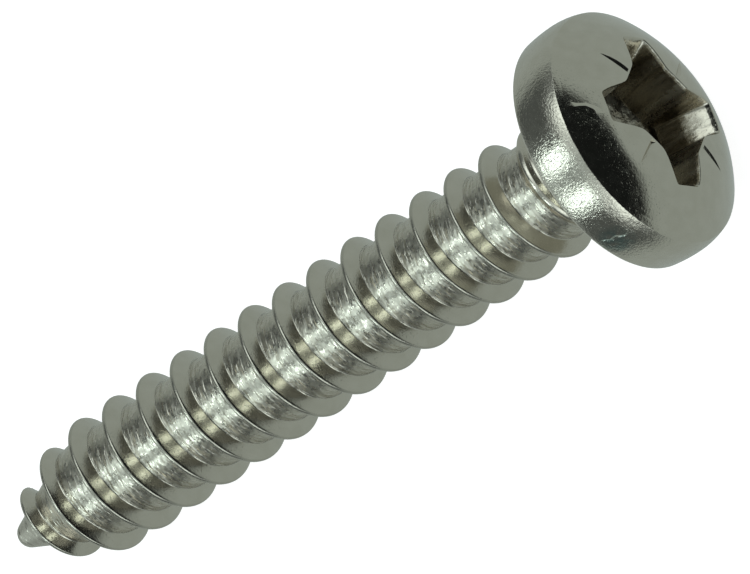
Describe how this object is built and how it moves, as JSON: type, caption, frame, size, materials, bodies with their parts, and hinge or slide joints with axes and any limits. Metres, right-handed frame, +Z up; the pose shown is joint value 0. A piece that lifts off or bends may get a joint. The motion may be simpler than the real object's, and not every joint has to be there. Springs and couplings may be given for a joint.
{
  "type": "sheet metal screw",
  "caption": "Pan head self-tapping sheet metal screw with a coarse right-hand thread to a tapered blunt point and a cross recess with radial marks.",
  "frame": {"origin": "centre of the head's flat bearing face, on the screw's axis", "axes": "+X along the screw towards the head, leaning 4.9 degrees as it lies at rest; +Z up; the screw lies on the rim of its head and on the thread near its point"},
  "size_m": [0.0248, 0.0072, 0.0072],
  "materials": {
    "stainless_steel": "bright stainless steel as rolled and tumbled, smooth on the thread flanks and finely mottled on the side of the head and the thread root"
  },
  "bodies": {
    "root": {"screw": "stainless_steel"}
  },
  "joints": []
}
